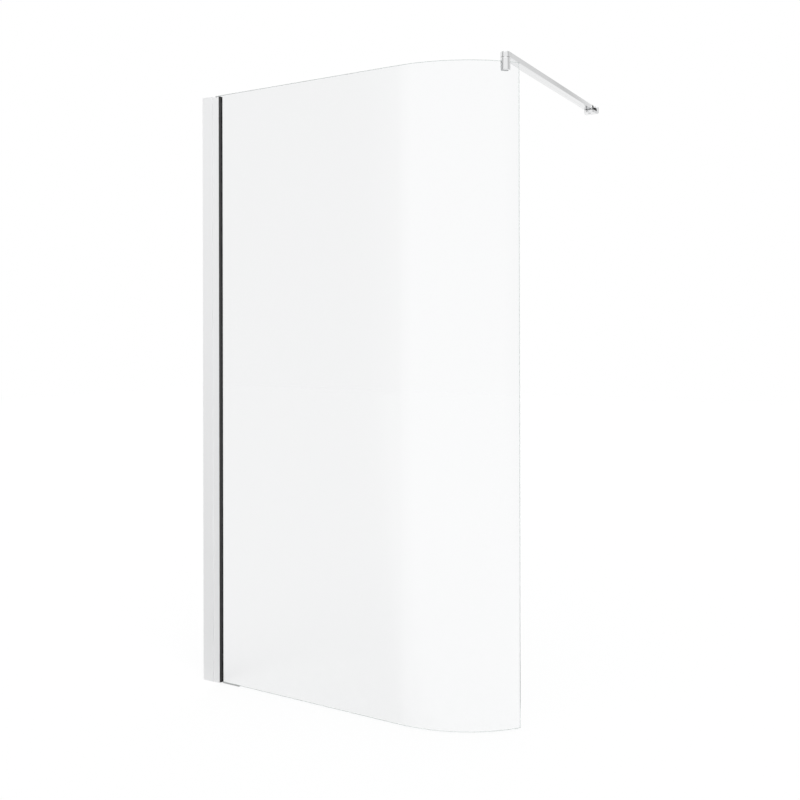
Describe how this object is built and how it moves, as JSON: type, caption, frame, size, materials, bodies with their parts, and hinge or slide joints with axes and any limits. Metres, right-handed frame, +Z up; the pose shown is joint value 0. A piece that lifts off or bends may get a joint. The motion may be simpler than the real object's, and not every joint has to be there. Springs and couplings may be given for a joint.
{
  "type": "walk-in shower screen",
  "caption": "Walk-in shower screen: clear pane with a bent free end in a slim wall profile, braced by a flat arm from a round top clamp to a wall bracket.",
  "frame": {"origin": "on the side wall, in the middle plane of the flat glass, at floor level: the bottom edge of the wall channel's back face", "axes": "+X straight out from the side wall along the flat glass; +Y towards the back wall and the shower side, the way the pane bends; +Z up, from the shower floor"},
  "size_m": [1.104, 0.932, 2.0308],
  "materials": {
    "profile": "polished and anodised",
    "gasket": "satin",
    "grey_rubber": "satin",
    "glass": "clear, toughened",
    "chrome": "polished",
    "steel": "satin",
    "white_plastic": "satin",
    "black_plastic": "satin",
    "soft_pad": "soft, translucent"
  },
  "bodies": {
    "wall_side": {"wall_channel": "profile", "channel_cap": "chrome"},
    "screen": {"adjusting_profile": "profile", "profile_cap": "chrome", "outer_gasket": "gasket", "inner_gasket": "gasket", "setting_block": "grey_rubber", "locking_screws": "steel", "screw_cap_bases": "white_plastic", "screw_caps": "chrome", "glass_panel": "glass", "clamp_body": "chrome", "front_pad": "soft_pad", "rear_pad": "soft_pad", "edge_pad": "soft_pad", "pressure_plate": "steel", "clamp_grub_screws": "steel", "clamp_washer": "white_plastic", "clamp_pivot_screw": "steel"},
    "arm": {"arm_clamp_end": "chrome", "arm_tube": "chrome", "arm_wall_end": "black_plastic", "arm_end_screws": "steel", "bracket_pivot_screw": "steel"},
    "bracket": {"bracket_body": "chrome", "bracket_base": "steel", "bracket_washer": "white_plastic", "bracket_grub_screw": "steel"}
  },
  "joints": [
    {"name": "profile_adjust", "type": "slide", "parent": "wall_side", "child": "screen", "axis": [1, 0, 0], "range_m": [-0.01, 0.01]},
    {"name": "clamp_swivel", "type": "hinge", "parent": "screen", "child": "arm", "pos_m": [1.07125, 0.12599, 2.0128], "axis": [0, 0, 1], "range_deg": [-90, 90]},
    {"name": "bracket_swivel", "type": "hinge", "parent": "arm", "child": "bracket", "pos_m": [1.07125, 0.892, 2.0128], "axis": [0, 0, 1], "range_deg": [-90, 90]}
  ]
}
